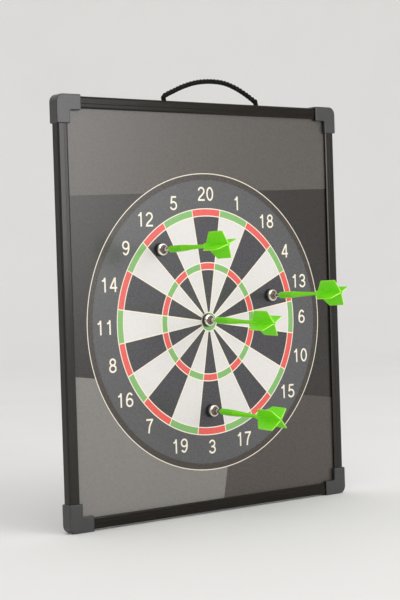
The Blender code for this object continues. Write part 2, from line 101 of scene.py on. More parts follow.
# %% [markdown]
# ## Places that come from the frame
#
# A dressed piece has to sit exactly where its working solid sits, so the main planes are
# read from the frame and not typed in again: the front of the print, the outer edges of the
# rails and the surface that the board stands on.

# %% Planes of the board
FACE_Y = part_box("print_film")[0].y
FILM_BACK_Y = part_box("print_film")[1].y
HALF_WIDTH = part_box("right_rail")[1].x
HALF_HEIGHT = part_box("top_rail")[1].z
RAIL_FRONT_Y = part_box("top_rail")[0].y
RAIL_BACK_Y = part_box("top_rail")[1].y
RAIL_MID_Y = (RAIL_FRONT_Y + RAIL_BACK_Y) / 2
CAP_FRONT_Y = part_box("top_left_cap")[0].y
FLOOR_Z = cad_box[0].z
rails = f"rails {RAIL_FRONT_Y:.4f} to {RAIL_BACK_Y:.4f}"
print(f"face at y {FACE_Y:.4f}, {rails}, floor z {FLOOR_Z:.4f}")

# %% [markdown]
# ## The camera
#
# The camera stands left of the board, about 1.7 m away, with a long lens that keeps the rails
# nearly parallel. It is set by a point to look at, a direction, a distance and a small roll.
# The columns of its rotation are its right, its up and its backward direction.

# %% Aim the camera
AIM = Vector((-0.0112, FACE_Y, 0.0079))
CAMERA_WAY = outward(-38.71, 1.17)
CAMERA_ROLL = math.radians(-1.77)
CAMERA_DISTANCE = 1.673
LENS = 95.69


def aim_camera():
    """Camera at the aim + distance × its way out, turned to face the aim."""
    level_right = Vector((0, 0, 1)).cross(CAMERA_WAY).normalized()
    level_up = CAMERA_WAY.cross(level_right)
    right = level_right * math.cos(CAMERA_ROLL) + level_up * math.sin(CAMERA_ROLL)
    up = level_up * math.cos(CAMERA_ROLL) - level_right * math.sin(CAMERA_ROLL)
    camera = linked("camera", bpy.data.cameras.new("camera"))
    camera.data.lens = LENS
    camera.data.clip_end = 50
    turn = Matrix((right, up, CAMERA_WAY)).transposed().to_4x4()
    camera.matrix_world = Matrix.Translation(AIM + CAMERA_WAY * CAMERA_DISTANCE) @ turn
    bpy.context.scene.camera = camera
    return camera


camera = aim_camera()
print("camera at", tuple(round(c, 3) for c in camera.matrix_world.translation))

# %% [markdown]
# ## From arrays to a mesh
#
# Nearly every piece is one or more grids of points, and numpy works out a whole grid at once.
# Four neighbours make a face. Where a surface closes on itself, its last column repeats its
# first, and at a pole a whole row is one point. Merging points that coincide closes seam and
# pole, and the normals of every closed shell are then turned outwards.

# %% Helpers that make a piece from grids
WELD = 0.001 * MM           # points nearer than this are one point
SHARP = 35                  # degrees between faces from which an edge stays sharp
FLAT_HOLD = 0.06 * MM       # from a rounding's end to the extra point that keeps a side flat
SMALL_SIDES = 48            # of screws and of their holes


def grid_faces(rows, columns, start=0):
    """Four-cornered faces of a grid: each point with its neighbours right, below and between."""
    index = np.arange(rows * columns).reshape(rows, columns) + start
    corners = [index[:-1, :-1], index[:-1, 1:], index[1:, 1:], index[1:, :-1]]
    return np.stack(corners, -1).reshape(-1, 4)


def shaded(mesh, sharp=SHARP):
    """Shade smooth but for the sharp edges."""
    mesh.shade_smooth()
    mesh.set_sharp_from_angle(angle=math.radians(sharp))
    return mesh


def tidy_mesh(mesh, sharp=SHARP, job=None):
    """Merge points that coincide, turn the faces outwards, shade smooth but for sharp edges.

    A job is a function that works on the merged solid before its faces are turned.
    """
    solid = bmesh.new()
    solid.from_mesh(mesh)
    bmesh.ops.remove_doubles(solid, verts=solid.verts, dist=WELD)
    if job:
        job(solid)
    bmesh.ops.recalc_face_normals(solid, faces=solid.faces)
    solid.to_mesh(mesh)
    solid.free()
    return shaded(mesh, sharp)


def grid_mesh(name, grids, uvs=(), lids=False, sharp=SHARP):
    """A mesh of several grids. With lids, the first and last row of each grid get a face."""
    points, faces, lid_faces, start = [], [], [], 0
    for grid in grids:
        rows, columns = grid.shape[:2]
        faces.append(grid_faces(rows, columns, start))
        if lids:
            ring = np.arange(columns - 1) + start
            lid_faces += [ring.tolist(), (ring + (rows - 1) * columns)[::-1].tolist()]
        points.append(grid.reshape(-1, 3))
        start += rows * columns
    faces = np.concatenate(faces)
    mesh = bpy.data.meshes.new(name)
    mesh.from_pydata(np.concatenate(points), [], faces.tolist() + lid_faces)
    if len(uvs):
        spread = np.concatenate([uv.reshape(-1, 2) for uv in uvs])[faces.ravel()]
        layer = mesh.uv_layers.new(name="along")
        layer.data.foreach_set("uv", spread.astype(np.float32).ravel())
    return tidy_mesh(mesh, sharp)


def show(name, mesh, material, body, slot, *replaced):
    """A finished piece: at the origin, with one material, riding on a body of the frame."""
    mesh.name = name
    mesh.materials.clear()
    mesh.materials.append(material)
    piece = linked(name, mesh)
    if body:
        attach(piece, body)
    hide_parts(*replaced)
    return piece


def softened(points, radius, steps=5, closed=True):
    """An outline with rounded corners, as an (n, 2) array.

    Each corner becomes P(t) = corner − r·in·(1 − sin t) + r·out·(1 − cos t) for t from 0 to
    a quarter turn, where in and out are the directions of its two sides. At a square corner
    that is an arc. One more point just before and after keeps the flat sides flat when shaded.
    """
    corner = np.asarray(points, float)
    reach = np.broadcast_to(np.asarray(radius, float), len(corner))[:, None, None]
    into = corner - np.roll(corner, 1, 0)
    out = np.roll(corner, -1, 0) - corner
    into = (into / np.linalg.norm(into, axis=1, keepdims=True))[:, None]
    out = (out / np.linalg.norm(out, axis=1, keepdims=True))[:, None]
    t = np.linspace(0, QUARTER, steps + 1)[None, :, None]
    arcs = corner[:, None] - reach * into * (1 - np.sin(t)) + reach * out * (1 - np.cos(t))
    support = np.where(reach > 0, reach + FLAT_HOLD, 0)
    before, after = corner[:, None] - support * into, corner[:, None] + support * out
    arcs = np.concatenate([before, arcs, after], 1)
    if not closed:
        arcs = np.concatenate([corner[:1], arcs[1:-1].reshape(-1, 2), corner[-1:]])
    outline = arcs.reshape(-1, 2)
    step = np.linalg.norm(outline - np.roll(outline, 1, 0), axis=1)
    return outline[step > WELD]


def spun(radius, angle, height):
    """Points round +Z: (r sin a, r cos a, h)."""
    x, y = radius * np.sin(angle), radius * np.cos(angle)
    return np.stack(np.broadcast_arrays(x, y, height), -1)


def turned(profile, sides):
    """A turned surface on +Z from (radius, height) pairs."""
    profile = np.asarray(profile, float)
    return spun(profile[:, :1], np.linspace(0, TURN, sides + 1), profile[:, 1:])


def moved(grid, matrix):
    """A grid of points carried by a 4 × 4 matrix."""
    m = np.array(matrix, float)
    return grid @ m[:3, :3].T + m[:3, 3]


def facing_out(x, y, z):
    """The matrix of a place on the board where +Z looks out of the face, along -Y."""
    return Matrix.Translation((x, y, z)) @ Matrix.Rotation(QUARTER, 4, "X")


# %% [markdown]
# ## One recipe for moulded, rolled and printed surfaces
#
# No real surface has a single colour. In this recipe a slow noise mixes two close tones, and
# a finer noise varies the gloss and raises a small bump. Stretched along one axis, specks
# become the drawn lines of a rolled or extruded piece. In Object coordinates the pattern has
# a real size, because each piece sits at the origin.

# %% The shared recipe
RANGE_SOCKETS = ("From Min", "From Max", "To Min", "To Max")


def socket(shader, name, value):
    """Set one input of a shader or texture node."""
    shader.inputs[name].default_value = value


def wired(tree, kind, constants=(), sources=()):
    """A new node with some inputs set, and others fed by the outputs of earlier nodes."""
    node = tree.nodes.new(f"ShaderNode{kind}")
    for name, value in dict(constants).items():
        socket(node, name, value)
    for name, source in dict(sources).items():
        tree.links.new(source, node.inputs[name])
    return node


def finish_of(name, tones, gloss, grain=3 * MM, stretch=(1, 1, 1), bump=0.15, relief=0.05 * MM,
              **constants):
    """A material: tones are two RGB colours, gloss the lowest and highest roughness.

    grain is the size of the slow noise in metres, and stretch lengthens it along an axis.
    The constants are sockets of the shader that are the same all over the surface.
    """
    material = bpy.data.materials.new(name)
    material.use_nodes = True
    tree = material.node_tree
    shader = tree.nodes["Principled BSDF"]
    place = wired(tree, "TexCoord").outputs["Object"]
    scale = {"Scale": [1 / (grain * s) for s in stretch]}
    vector = wired(tree, "Mapping", scale, {"Vector": place}).outputs["Vector"]
    slow, fine = (
        wired(tree, "TexNoise", {"Scale": size, "Detail": 3.0}, {"Vector": vector}).outputs["Fac"]
        for size in (1.0, 7.0)
    )
    ramp = wired(tree, "ValToRGB", (), {"Fac": slow})
    for stop, position, tone in zip(ramp.color_ramp.elements, (0.35, 0.65), tones):
        stop.position = position
        stop.color = (*tone, 1)
    spread = wired(tree, "MapRange", zip(RANGE_SOCKETS, (0.3, 0.7, *gloss)), {"Value": fine})
    raised = wired(tree, "Bump", {"Strength": bump, "Distance": relief}, {"Height": fine})
    tree.links.new(ramp.outputs["Color"], shader.inputs["Base Color"])
    tree.links.new(spread.outputs["Result"], shader.inputs["Roughness"])
    tree.links.new(raised.outputs["Normal"], shader.inputs["Normal"])
    for key, value in constants.items():
        socket(shader, key.replace("_", " ").title().replace("Ior", "IOR"), value)
    material.diffuse_color = (*tones[1], 1)
    return material


# %% [markdown]
# ## The rope handle
#
# A handle of three-strand rope rises from one hole in the top rail and goes down into the
# other. It is stiff enough to stand as an arch, so no simulation is needed: its centre line
# is a smooth curve through a few given points.
#
# Its three strands wind about a common line. Seen from that line, a strand in direction b has
# its surface at d·cos b + √(s² − d²·sin² b), where d is how far off centre it lies and s is
# its radius. Turning the strands along the rope gives the lay, and a finer wave that leans
# the other way gives the yarns.

# %% The rope's centre line
ROPE_RADIUS = 2.75 * MM
ROPE_LEFT = -0.0495
ROPE_RIGHT = 0.0755
ROPE_END = -0.0053          # where each end stops inside the rail, below the rail's top
ROPE_ROUTE = (              # X and Z above the rail's top, from the left end to the right
    (ROPE_LEFT, ROPE_END),
    (ROPE_LEFT, 0.0034),
    (-0.0470, 0.0061),
    (-0.0375, 0.0104),
    (-0.0220, 0.0166),
    (-0.0050, 0.0212),
    (0.0140, 0.0231),
    (0.0320, 0.0221),
    (0.0480, 0.0176),
    (0.0620, 0.0113),
    (0.0725, 0.0054),
    (ROPE_RIGHT, 0.0034),
    (ROPE_RIGHT, ROPE_END),
)


def smooth_line(points, count):
    """Evenly spaced points on a Catmull-Rom curve.

    Between b and c, with neighbours a and d, the curve is half of
    2b + (c − a)t + (2a − 5b + 4c − d)t² + (3b − a − 3c + d)t³.
    """
    known = np.asarray(points, float)
    known = np.vstack([2 * known[0] - known[1], known, 2 * known[-1] - known[-2]])
    a, b, c, d = (known[i:len(known) - 3 + i, None] for i in range(4))
    t = np.linspace(0, 1, 40, endpoint=False)[None, :, None]
    curve = (2 * b + (c - a) * t + (2 * a - 5 * b + 4 * c - d) * t**2
             + (3 * b - a - 3 * c + d) * t**3) / 2
    fine = np.vstack([curve.reshape(-1, 2), known[-2]])
    length = np.append(0, np.cumsum(np.linalg.norm(np.diff(fine, axis=0), axis=1)))
    even = np.linspace(0, length[-1], count)
    return np.stack([np.interp(even, length, fine[:, k]) for k in (0, 1)], -1), length[-1]


rope_line, rope_length = smooth_line(ROPE_ROUTE, 320)
print(f"rope: {rope_length * 1000:.1f} mm from end to end, {ROPE_RADIUS * 2000:.1f} mm thick")

# %% The rope's twisted skin
ROPE_LAY = 14 * MM          # length over which a strand goes once round
STRAND_RADIUS = 1.60 * MM
STRAND_OFFSET = ROPE_RADIUS - STRAND_RADIUS
YARNS = 9                   # waves on a strand, for each turn of the section
YARN_PITCH = 2.1 * MM       # along the rope from one yarn to the next
YARN_RELIEF = 0.07 * MM


def rope_skin(line, length, columns=72):
    """Rings of the three-strand section, turned along the line, and their UV coordinates."""
    along = np.linspace(0, length, len(line))[:, None]
    a = np.linspace(0, TURN, columns + 1)[None]
    lay = TURN * along / ROPE_LAY
    strand = np.mod(a - lay, TURN / 3) - TURN / 6
    hollow = STRAND_OFFSET * np.sin(strand)
    radius = STRAND_OFFSET * np.cos(strand) + np.sqrt(STRAND_RADIUS**2 - hollow**2)
    yarn = np.cos(YARNS * strand + TURN * along / YARN_PITCH)
    radius += YARN_RELIEF * (yarn - 1) / 2
    tangent = np.gradient(line, axis=0)
    tangent /= np.linalg.norm(tangent, axis=1, keepdims=True)
    side = radius * np.cos(a)
    x = line[:, :1] - tangent[:, 1:] * side
    z = line[:, 1:] + tangent[:, :1] * side + HALF_HEIGHT
    y = RAIL_MID_Y + radius * np.sin(a)
    ring = np.stack([x, y, z], -1)
    ends = np.stack([line[:, 0], 0 * line[:, 0] + RAIL_MID_Y, line[:, 1] + HALF_HEIGHT], -1)
    first = np.repeat(ends[:1, None], columns + 1, 1)
    last = np.repeat(ends[-1:, None], columns + 1, 1)
    skin = np.concatenate([first, ring, last])
    v = np.concatenate([[[0]], along, [[length]]]) / ROPE_LAY
    uv = np.stack(np.broadcast_arrays(a / TURN, v), -1)
    return skin, uv, ends


rope_finish = finish_of(
    "black_rope", ((0.003, 0.003, 0.002), (0.010, 0.010, 0.008)), (0.75, 0.95),
    grain=0.8 * MM, bump=0.5, relief=0.10 * MM, specular_ior_level=0.15,
)
skin, uv, rope_path = rope_skin(rope_line, rope_length)
rope = show(
    "rope_handle", grid_mesh("rope_handle", [skin], [uv], sharp=80), rope_finish, None, "rope",
    "rope_arch", "rope_tail_left", "rope_tail_right",
)
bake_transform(rope)
print("rope faces:", len(rope.data.polygons))

# %% [markdown]
# ## Stage and light
#
# The object stands in a round cove, a pale floor that curves up into a wall, so no corner or
# horizon shows from any side. A large soft panel stands to the front right, where the satin
# face mirrors it for someone on the left. Another is overhead, and a weak sky fills the rest.

# %% The cove
COVE_RADIUS = 4.2
COVE_BEND = 1.6
COVE_HEIGHT = 1.7          # high enough for a level look, low enough to let the sky in


def build_cove():
    """Floor, quarter bend and wall as one profile, turned about the board's upright axis."""
    bend = np.linspace(0, QUARTER, 17)
    radius = COVE_RADIUS - COVE_BEND + COVE_BEND * np.sin(bend)
    height = FLOOR_Z + COVE_BEND * (1 - np.cos(bend))
    profile = [(0, FLOOR_Z), (1.0, FLOOR_Z), *zip(radius, height), (COVE_RADIUS, COVE_HEIGHT)]
    paint = finish_of(
        "pale_paint", ((0.812, 0.808, 0.800), (0.826, 0.822, 0.814)), (0.85, 0.95),
        grain=0.25, bump=0.02,
    )
    mesh = grid_mesh("cove", [turned(profile, 96)])
    mesh.flip_normals()
    mesh.materials.append(paint)
    cove = linked("cove", mesh)
    cove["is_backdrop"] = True
    return cove


cove = build_cove()
print("cove", round(2 * COVE_RADIUS, 1), "m across")

# %% Lights and sky
LIGHTS = (                  # name, azimuth and height in degrees, distance, width, height, watts
    ("front_right", 18, 12, 2.6, 1.5, 1.1, 27),
    ("overhead", -30, 60, 3.0, 1.8, 1.8, 10),
)
SKY_STRENGTH = 0.85
SKY_TONE = (1.0, 0.995, 0.985, 1)


def add_light(name, azimuth, height, distance, width, tall, watts):
    """A soft rectangular light that looks at the middle of the board."""
    lamp = bpy.data.lights.new(name, "AREA")
    lamp.shape = "RECTANGLE"
    lamp.size = width
    lamp.size_y = tall
    lamp.energy = watts
    way = outward(azimuth, height)
    light = linked(name, lamp)
    turn = way.to_track_quat("Z", "Y").to_matrix().to_4x4()
    light.matrix_world = Matrix.Translation(way * distance) @ turn
    light.visible_camera = False


for settings in LIGHTS:
    add_light(*settings)
sky = bpy.data.worlds.new("sky")
sky.use_nodes = True
socket(sky.node_tree.nodes["Background"], "Color", SKY_TONE)
socket(sky.node_tree.nodes["Background"], "Strength", SKY_STRENGTH)
bpy.context.scene.world = sky
bpy.context.scene.view_settings.view_transform = "Standard"
print("lights:", ", ".join(settings[0] for settings in LIGHTS))

# %% [markdown]
# ## The print
#
# The face is one printed film: four grey grounds that meet along slanting lines, a dark disc
# with a warm rim, and the scoring field. Each ink is its own thin plate, a few hundredths of
# a millimetre above the one below, so every edge stays crisp from near. The whole stack is
# thinner than the 0.3 mm that the darts' magnets keep from the face.

# %% Printed levels and inks
BULL_Z = -0.0154
LEVEL = 0.035 * MM          # height of one ink over the one below
INK_TUCK = 0.05 * MM        # how deep a plate is tucked into the ground
OUTER = 155.8 * MM          # radius of the outer cream circle
DISC = 0.957 * OUTER
DOUBLE = (0.715 * OUTER, 0.764 * OUTER)
TRIPLE = (0.353 * OUTER, 0.400 * OUTER)
BULL = 0.064 * OUTER
INNER_BULL = 0.030 * OUTER
SECTORS = 20
EDGE_SHIFTS = (0.5, 1.5, 3.5, 1.5, 0.5, -0.5, 1.5, 0.5, -1.5, 0.0)      # degrees clockwise


def ink(name, tone, spread=0.03):
    """A satin printed ink: nearly even, with the faint mottle of screen printing."""
    light = tuple(c * (1 + spread) for c in tone)
    dark = tuple(c * (1 - spread) for c in tone)
    return finish_of(
        name, (dark, light), (0.265, 0.285), grain=5 * MM, bump=0.006, relief=0.02 * MM,
        specular_ior_level=0.5,
    )


inks = {
    "upper": ink("grey_ink", (0.078, 0.069, 0.060)),
    "band": ink("charcoal_ink", (0.016, 0.012, 0.010)),
    "lower_left": ink("stone_ink", (0.190, 0.180, 0.167)),
    "lower_right": ink("olive_grey_ink", (0.060, 0.050, 0.042)),
    "rim": ink("warm_dark_ink", (0.042, 0.032, 0.026)),
    "disc": ink("slate_ink", (0.079, 0.079, 0.082)),
    "dark": ink("dark_sector_ink", (0.043, 0.040, 0.047)),
    "cream": ink("cream_ink", (0.86, 0.79, 0.66), 0.01),
    "white": ink("white_ink", (0.690, 0.655, 0.645), 0.01),
    "red": ink("red_ink", (0.74, 0.092, 0.080), 0.02),
    "green": ink("green_ink", (0.200, 0.430, 0.136), 0.02),
}

# %% Plates, rings and tiles
def plate(x, z, front, back):
    """Three grids that close a thin plate: front, back, and a strip round the border."""
    face = np.stack([x, np.full_like(x, front), z], -1)
    rear = face.copy()
    rear[..., 1] = back
    edge = np.concatenate([face[0, :-1], face[:-1, -1], face[-1, :0:-1], face[::-1, 0]])
    strip = np.stack([edge, edge])
    strip[1, :, 1] = back
    return [face, rear, strip]


def tile(low, high, start, end, level):
    """An annular sector between two radii. Angles run clockwise from the top, in turns."""
    a = TURN * np.linspace(start, end, 19)[None]
    r = np.array([[low], [high]])
    return plate(
        r * np.sin(a), r * np.cos(a) + BULL_Z, FACE_Y - level * LEVEL, FACE_Y + INK_TUCK
    )


def print_piece(name, grids, finish):
    """One colour of the print, riding on the board."""
    return show(name, grid_mesh(name, grids), inks[finish], "board", "film", "print_film")


def ring(low, high, level, sides=240):
    """A whole flat ring: a small rectangle carried round the bull's centre."""
    front, back = FACE_Y - level * LEVEL, FACE_Y + INK_TUCK
    section = np.array([(low, front), (high, front), (high, back), (low, back), (low, front)])
    a = np.linspace(0, TURN, sides + 1)
    r, y = section[:, :1], section[:, 1:]
    return np.stack([r * np.sin(a), y + 0 * a, r * np.cos(a) + BULL_Z], -1)


# %% [markdown]
# ### The four grounds
#
# The grounds meet along two nearly level lines and one nearly upright one. Each ground is a
# grid that runs from its lower line to its upper line, and its outer ends follow the rounded
# corners of the film, which the corner caps hide.

# %% Ground plates
FILM_HALF_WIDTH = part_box("print_film")[1].x
FILM_HALF_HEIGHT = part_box("print_film")[1].z
FILM_ROUND = 3 * MM


def film_edge(x):
    """Half height of the film at x: straight, then a quarter circle in each corner."""
    past = np.clip(np.abs(x) - (FILM_HALF_WIDTH - FILM_ROUND), 0, FILM_ROUND)
    return FILM_HALF_HEIGHT - FILM_ROUND + np.sqrt(FILM_ROUND**2 - past**2)


def upper_line(x):
    """The line between the upper ground and the dark band."""
    return 0.1212 + 0.0259 * x


def lower_line(x):
    """The line between the dark band and the lower grounds."""
    return -0.0851 - 0.1320 * x


def ground(left, right, lower, upper):
    """A ground between two lines. Left and right give its X at the lower and upper ends."""
    across = (1 - np.cos(np.linspace(0, TURN / 2, 49)))[None] / 2
    up = np.linspace(0, 1, 13)[:, None]
    start = left[0] + (left[1] - left[0]) * up
    end = right[0] + (right[1] - right[0]) * up
    x = start + (end - start) * across
    z = lower(x) + (upper(x) - lower(x)) * up
    return plate(x, z, FACE_Y, FILM_BACK_Y)


W = FILM_HALF_WIDTH
SPLIT = (0.0125, 0.0352)    # X of the upright line, at the film's edge and at the lower line
grounds = {
    "upper": ((-W, -W), (W, W), upper_line, film_edge),
    "band": ((-W, -W), (W, W), lower_line, upper_line),
    "lower_left": ((-W, -W), SPLIT, lambda x: -film_edge(x), lower_line),
    "lower_right": (SPLIT, (W, W), lambda x: -film_edge(x), lower_line),
}
for name, shape in grounds.items():
    print_piece(f"print_ground_{name}", ground(*shape), name)
print("grounds:", ", ".join(grounds))

# %% [markdown]
# ### The scoring field
#
# Twenty sectors of about 18 degrees stand round the bull, dark and white in turn. Two narrow
# rings cross them, red over dark and green over white, and fine cream lines part everything.
# The artwork is not perfectly even: its ten lines through the bull stand up to three and a
# half degrees off, and ten shifts serve both halves. Each colour becomes one piece.

# %% Disc, sectors, rings and lines
LINE = 1.0 * MM
CIRCLE_LINE = 0.85 * MM


def edge_angle(number):
    """Angle in turns of the line after a sector: half a sector on, plus its own shift."""
    return (number + 0.5) / SECTORS + EDGE_SHIFTS[number % len(EDGE_SHIFTS)] / 360


def scoring_field():
    """Lists of tiles, one list for each ink."""
    found = {"dark": [], "white": [], "red": [], "green": []}
    for number in range(SECTORS):
        edges = edge_angle(number - 1), edge_angle(number)
        sector, narrow = ("dark", "red") if number % 2 == 0 else ("white", "green")
        for low, high in ((BULL, TRIPLE[0]), (TRIPLE[1], DOUBLE[0])):
            found[sector] += tile(low, high, *edges, 2)
        for low, high in (TRIPLE, DOUBLE):
            found[narrow] += tile(low, high, *edges, 3)
    return found


def radial_lines():
    """The fine lines between sectors, each a long thin plate along its own radius."""
    r = np.array([[BULL], [DOUBLE[1]]])
    side = np.array([[-LINE / 2, LINE / 2]])
    plates = []
    for number in range(SECTORS):
        angle = TURN * edge_angle(number)
        x = r * math.sin(angle) + side * math.cos(angle)
        z = r * math.cos(angle) - side * math.sin(angle) + BULL_Z
        plates += plate(x, z, FACE_Y - 4 * LEVEL, FACE_Y + INK_TUCK)
    return plates


def around(radius, width, level=5):
    """A cream circle of that width, centred on a radius."""
    return ring(radius - width / 2, radius + width / 2, level)


for colour, tiles in scoring_field().items():
    print_piece(f"print_{colour}", tiles, colour)
print_piece("print_disc", [ring(DOUBLE[0], DISC, 1)], "disc")
print_piece("print_rim", [ring(DISC, OUTER, 1)], "rim")
print_piece("print_lines", radial_lines(), "cream")
circles = [around(r, LINE) for r in (*DOUBLE, *TRIPLE)]
print_piece("print_circles", [*circles, around(OUTER, CIRCLE_LINE)], "cream")
print_piece("print_bull", [ring(INNER_BULL, BULL, 3)], "green")
print_piece("print_bull_line", [around(BULL, LINE), around(INNER_BULL, 0.7 * LINE)], "cream")
print_piece("print_bull_centre", [ring(0, INNER_BULL, 3, 96)], "red")
print("scoring field out to", round(DOUBLE[1] * 1000, 1), "mm from the bull")

# %% [markdown]
# ### The numbers
#
# The numbers stand upright round the disc in a plain letter of even stroke. Each digit is a
# few strokes in a box one unit high: straight lines, parts of an ellipse and free curves. A
# stroke becomes a ribbon, its centre line moved half a width to either side.

# %% Digits as strokes
NUMBERS = (20, 1, 18, 4, 13, 6, 10, 15, 2, 17, 3, 19, 7, 16, 8, 11, 14, 9, 12, 5)
NUMBER_RADIUS = (0.846 * OUTER, 0.864 * OUTER)     # of one and two digits
DIGIT_HEIGHT = 14.7 * MM
DIGIT_STEP = 0.78           # from one digit to the next, in digit heights
DIGIT_MIDDLE = 0.32         # X of a digit's middle in its own box
STROKE = 0.125              # stroke width, in digit heights
STROKE_STEP = 0.25          # height of one stroke over the one before, in ink levels


def arc(x, y, wide, tall, start, end):
    """Part of an ellipse about (x, y): (x + w·cos t, y + h·sin t), t in degrees."""
    t = np.radians(np.linspace(start, end, 25))
    return np.stack([x + wide * np.cos(t), y + tall * np.sin(t)], -1)


def line(*points):
    """A straight stroke."""
    return np.array(points, float)


def curve(*points):
    """A free stroke through a few points."""
    return smooth_line(points, 17)[0]


SIX = (
    arc(0.32, 0.31, 0.250, 0.250, 0, 360),
    np.vstack([arc(0.34, 0.62, 0.235, 0.320, 32, 90), arc(0.34, 0.44, 0.270, 0.500, 90, 195)]),
)
DIGITS = {
    "0": (arc(0.32, 0.5, 0.255, 0.440, 0, 360),),
    "1": (
        line((0.38, 0), (0.38, 1)),
        curve((0.14, 0.765), (0.25, 0.80), (0.335, 0.88), (0.375, 0.99)),
    ),
    "2": (
        np.vstack([
            arc(0.32, 0.70, 0.245, 0.240, 172, -24),
            curve((0.53, 0.58), (0.42, 0.455), (0.24, 0.31), (0.11, 0.17), (0.075, 0.06)),
        ]),
        line((0.01, STROKE / 2), (0.62, STROKE / 2)),
    ),
    "3": (
        arc(0.31, 0.725, 0.225, 0.215, 168, -90), arc(0.31, 0.285, 0.255, 0.225, 90, -168),
        line((0.22, 0.51), (0.33, 0.51)),
    ),
    "4": (
        line((0.455, 0), (0.455, 1)), line((0.435, 0.97), (0.045, 0.30)),
        line((0.01, 0.29), (0.62, 0.29)),
    ),
    "5": (
        line((0.15, 1 - STROKE / 2), (0.56, 1 - STROKE / 2)), line((0.175, 0.985), (0.105, 0.46)),
        arc(0.30, 0.325, 0.265, 0.265, 142, -162),
    ),
    "6": SIX,
    "7": (
        line((0.03, 1 - STROKE / 2), (0.61, 1 - STROKE / 2)),
        curve((0.575, 0.94), (0.43, 0.72), (0.29, 0.42), (0.225, 0.0)),
    ),
    "8": (arc(0.32, 0.735, 0.215, 0.205, 0, 360), arc(0.32, 0.285, 0.255, 0.225, 0, 360)),
    "9": tuple((2 * DIGIT_MIDDLE, 1) - stroke for stroke in SIX),
}


def ribbon(path, width):
    """Left and right edge of a flat stroke: the path plus and minus half its width."""
    along = np.gradient(path, axis=0)
    along /= np.linalg.norm(along, axis=1, keepdims=True)
    across = np.stack([-along[:, 1], along[:, 0]], -1) * width / 2
    return path + np.stack([across, -across])


def number_plates(number, x, z):
    """Thin plates for every stroke of a number whose middle is at (x, z).

    Strokes of a digit cross, so each one lies a little higher than the one before it.
    """
    plates = []
    text = str(number)
    for place, digit in enumerate(text):
        shift = DIGIT_STEP * (place - (len(text) - 1) / 2) - DIGIT_MIDDLE
        for layer, stroke in enumerate(DIGITS[digit]):
            edges = ribbon(stroke, STROKE) + (shift, -0.5)
            edges = edges * DIGIT_HEIGHT + (x, z)
            front = FACE_Y - (2 + STROKE_STEP * layer) * LEVEL
            plates += plate(edges[..., 0], edges[..., 1], front, FACE_Y + INK_TUCK)
    return plates


# %% Place the numbers
number_grids = []
for place, number in enumerate(NUMBERS):
    a = TURN * (edge_angle(place - 1) + edge_angle(place)) / 2
    r = NUMBER_RADIUS[number > 9]
    number_grids += number_plates(number, r * math.sin(a), r * math.cos(a) + BULL_Z)
print_piece("print_numbers", number_grids, "cream")
print("numbers:", len(number_grids) // 3, "strokes")

# %% [markdown]
# ## The rails
#
# All four rails are lengths of one aluminium extrusion: a hollow chamber outside, a slot for
# the panel inside, a rounded outer edge and a small step down to the lip that holds the
# print. One rounded outline is carried along each side. An extruded bar has faint lines along
# its length, so the upright and the level rails need a finish each.

# %% Rail section
RAIL_OUTLINE = np.array([   # inwards from the outer edge, and back from the front
    (0.0, 0.0), (7.2, 0.0), (7.5, 0.45), (10.7, 0.5), (12.0, 0.95), (12.0, 2.9), (10.8, 2.9),
    (10.8, 2.0), (6.7, 2.0), (6.7, 9.1), (10.5, 9.1), (10.5, 10.4), (0.0, 10.4),
]) * MM
RAIL_ROUNDING = np.array((2.2, 0.15, 0.1, 0.3, 0.2, 0.25, *5 * (0.1,), 0.3, 0.9)) * MM
CHAMBER_OUTLINE = np.array([(1.5, 1.5), (5.6, 1.5), (5.6, 8.9), (1.5, 8.9)]) * MM


def closed(outline):
    """The outline with its first point again at the end."""
    return np.vstack([outline, outline[:1]])


def bar(outline, half_length):
    """An outline carried along Z, from -half_length to +half_length, as a grid."""
    outline = closed(outline)
    ends = np.array([-half_length, half_length])[:, None]
    across = np.broadcast_to(outline, (2, *outline.shape))
    return np.concatenate([across, np.broadcast_to(ends[:, None], (2, len(outline), 1))], -1)


def close_ends(solid):
    """Fill both flat ends of a hollow bar, between its outer and inner edge."""
    for sign in (-1, 1):
        edges = [e for e in solid.edges if e.is_boundary and sign * e.verts[0].co.z > 0]
        bmesh.ops.triangle_fill(solid, use_beauty=True, edges=edges)


def hollow_bar(half_length):
    """The rail's skin and chamber with both ends closed, lying on Z."""
    outlines = softened(RAIL_OUTLINE, RAIL_ROUNDING), CHAMBER_OUTLINE
    mesh = grid_mesh("bar", [bar(outline, half_length) for outline in outlines])
    return tidy_mesh(mesh, job=close_ends)


# %% Cutting with a solid
def cut(mesh, cutters):
    """The mesh with other meshes cut out of it, by exact Booleans that are applied at once."""
    target = linked("target", mesh)
    tools = [linked("tool", cutter) for cutter in cutters]
    for tool in tools:
        modifier = target.modifiers.new("cut", "BOOLEAN")
        modifier.object = tool
        modifier.solver = "EXACT"
    depsgraph = bpy.context.evaluated_depsgraph_get()
    result = bpy.data.meshes.new_from_object(target.evaluated_get(depsgraph))
    for helper in (target, *tools):
        bpy.data.objects.remove(helper)
    return shaded(result)


# %% Place the four rails
ROPE_HOLE_RADIUS = 3.1 * MM
DRILL_REACH = 3 * MM        # how far the drill goes above and below the rail's top


def rail_finish(name, stretch, shine):
    """Black anodised aluminium, drawn out along the rail."""
    return finish_of(
        name, ((0.008, 0.006, 0.004), (0.014, 0.011, 0.008)), (0.17, 0.24), grain=0.5 * MM,
        stretch=stretch, bump=0.10, relief=0.02 * MM, specular_ior_level=shine,
    )


